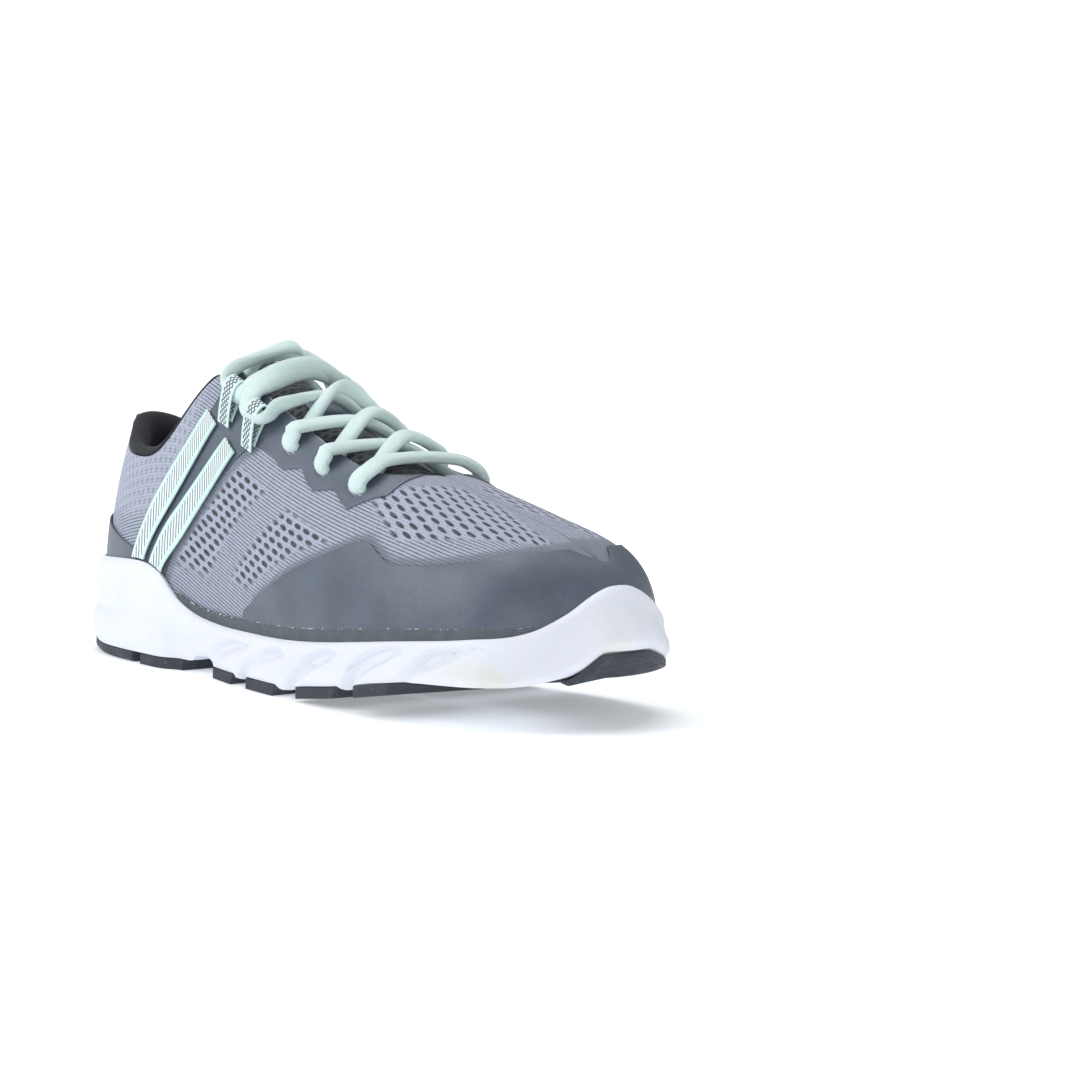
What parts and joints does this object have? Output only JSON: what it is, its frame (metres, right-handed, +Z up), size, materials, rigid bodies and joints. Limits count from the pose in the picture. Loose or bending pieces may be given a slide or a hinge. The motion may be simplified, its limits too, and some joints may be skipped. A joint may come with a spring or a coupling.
{
  "type": "running shoe",
  "caption": "Right low-cut running shoe: ribbed knit upper with smooth toe and eyestay overlays, webbing lace straps, flared foam midsole and separate dark rubber pads.",
  "frame": {"origin": "centre of the bounding box in plan, on the floor under the sole", "axes": "+X from heel to toe, +Y to the medial (inner) side, +Z up"},
  "size_m": [0.2774, 0.1032, 0.123],
  "materials": {
    "eva_foam": "moulded foam, satin",
    "outsole_rubber": "matt",
    "board": "stiff fibre sheet",
    "sockliner_fabric": "brushed textile",
    "knit": "ribbed open knit",
    "film": "smooth bonded film",
    "rand_textile": "woven strip",
    "webbing": "woven webbing with grey centre",
    "collar_foam": "open cell foam",
    "dark_mesh": "spacer mesh",
    "lace_cord": "knitted cord",
    "aglet_plastic": "clear tip"
  },
  "bodies": {
    "shoe": {"midsole": "eva_foam", "outsole_heel_rear": "outsole_rubber", "outsole_heel_lateral": "outsole_rubber", "outsole_heel_lateral_front": "outsole_rubber", "outsole_heel_medial": "outsole_rubber", "outsole_lug_lateral_1": "outsole_rubber", "outsole_lug_lateral_2": "outsole_rubber", "outsole_lug_lateral_3": "outsole_rubber", "outsole_lug_lateral_4": "outsole_rubber", "outsole_lug_medial_1": "outsole_rubber", "outsole_lug_medial_2": "outsole_rubber", "outsole_lug_medial_3": "outsole_rubber", "outsole_toe": "outsole_rubber", "strobel_board": "board", "upper_knit": "knit", "toe_overlay": "film", "rand_strip": "rand_textile", "side_overlay_lateral": "film", "strap_rear_lateral": "webbing", "strap_front_lateral": "webbing", "lace_loop_lower_lateral": "webbing", "lace_loop_upper_lateral": "webbing", "side_overlay_medial": "film", "strap_rear_medial": "webbing", "strap_front_medial": "webbing", "lace_loop_lower_medial": "webbing", "lace_loop_upper_medial": "webbing", "collar_foam": "collar_foam", "collar_lining": "dark_mesh", "lace": "lace_cord", "aglet_a": "aglet_plastic", "aglet_b": "aglet_plastic", "heel_overlay": "film", "heel_strap_lateral": "webbing", "heel_strap_medial": "webbing", "heel_counter": "board", "toe_puff": "board"},
    "tongue": {"tongue": "dark_mesh", "tongue_patch": "film"},
    "sockliner": {"sockliner": "sockliner_fabric"},
    "pull_tab": {"heel_pull_tab": "dark_mesh"}
  },
  "joints": [
    {"name": "tongue_hinge", "type": "hinge", "parent": "shoe", "child": "tongue", "pos_m": [0.0577, 0.0004, 0.066], "axis": [0, -1, 0], "range_deg": [0, 8], "stiffness_Nm_per_rad": 0.25, "springref_deg": -5.73},
    {"name": "sockliner_lift", "type": "hinge", "parent": "shoe", "child": "sockliner", "pos_m": [0.1237, 0.0044, 0.029], "axis": [0, 1, 0], "range_deg": [0, 3]},
    {"name": "pull_tab_hinge", "type": "hinge", "parent": "shoe", "child": "pull_tab", "pos_m": [-0.1318, 0.0004, 0.0846], "axis": [0, -1, 0], "range_deg": [0, 30], "stiffness_Nm_per_rad": 0.004, "springref_deg": -5.73}
  ]
}
